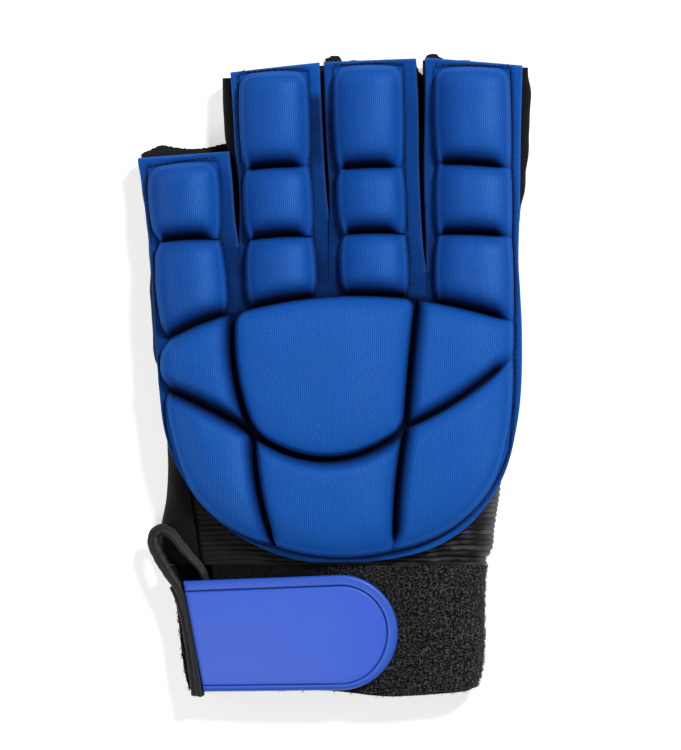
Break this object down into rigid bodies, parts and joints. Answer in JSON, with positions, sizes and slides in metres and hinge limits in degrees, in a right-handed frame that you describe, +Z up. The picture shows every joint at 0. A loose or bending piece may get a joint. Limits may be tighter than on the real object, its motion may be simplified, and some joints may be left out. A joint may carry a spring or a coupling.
{
  "type": "field hockey glove",
  "caption": "Left-hand half-finger field hockey glove with a moulded foam back, ribbed wrist and strap closure, lying palm down.",
  "frame": {"origin": "on the floor under the middle of the palm, on the palm sheet's flat underside", "axes": "+Z up through the back of the hand, +Y towards the fingertips, +X towards the thumb and index finger"},
  "size_m": [0.1112, 0.1798, 0.033],
  "materials": {
    "foam_cloth": "fine blue knit over moulded foam",
    "strap_rubber": "satin moulded rubber, blue with a hint of violet",
    "palm_suede": "matt synthetic suede, black",
    "side_cloth": "smooth black stretch cloth",
    "rib_cloth": "ribbed black elastic with a slight sheen",
    "loop_pile": "matt black loop pile",
    "binding_vinyl": "satin black leatherette"
  },
  "bodies": {
    "root": {"foam_back_pad": "foam_cloth", "palm_panel": "palm_suede", "little_finger_side": "side_cloth", "index_finger_side": "side_cloth", "gusset_little_ring": "side_cloth", "gusset_ring_middle": "side_cloth", "gusset_middle_index": "side_cloth", "rib_panel": "rib_cloth", "wrist_band": "loop_pile", "closing_strap": "strap_rubber", "slit_binding": "binding_vinyl", "strap_binding": "binding_vinyl", "thumb_hole_binding": "binding_vinyl"}
  },
  "joints": []
}
